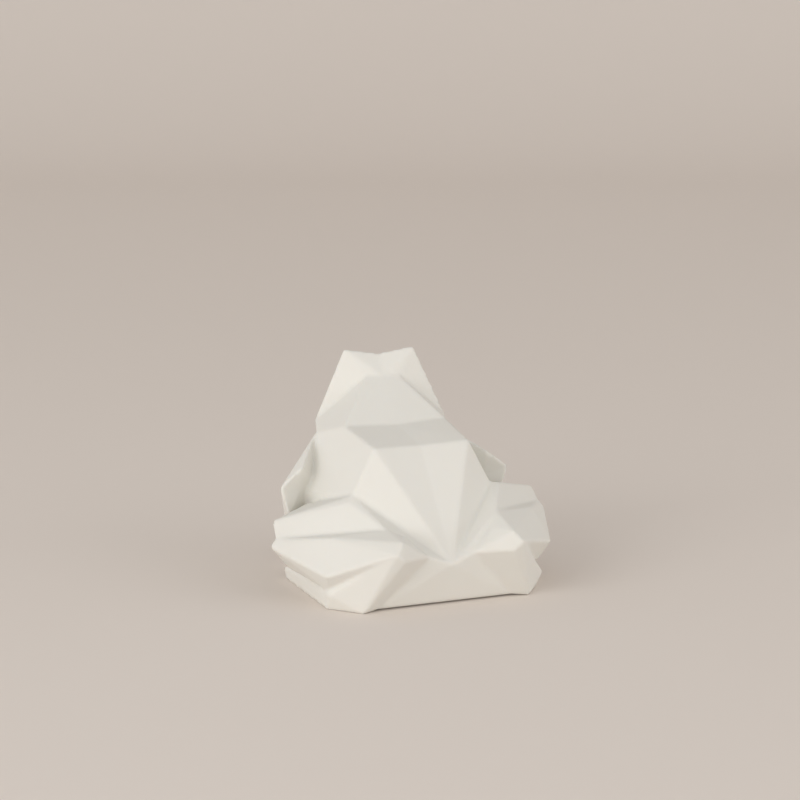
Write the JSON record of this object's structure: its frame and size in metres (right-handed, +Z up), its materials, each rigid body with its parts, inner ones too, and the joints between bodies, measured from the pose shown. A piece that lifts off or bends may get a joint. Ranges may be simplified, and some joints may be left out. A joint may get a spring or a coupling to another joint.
{
  "type": "faceted frog figurine",
  "caption": "Sitting frog figurine in matte white porcelain, shaped in flat folded-looking facets, with a flat underside to rest on a shelf or table.",
  "frame": {"origin": "on the table plane, on the body's middle plane, between the hind feet", "axes": "+Z up, the frog looks along -Y, its left side is +X"},
  "size_m": [0.136, 0.1296, 0.1018],
  "materials": {
    "porcelain": "matte unglazed"
  },
  "bodies": {
    "root": {"frog_figurine": "porcelain"}
  },
  "joints": []
}
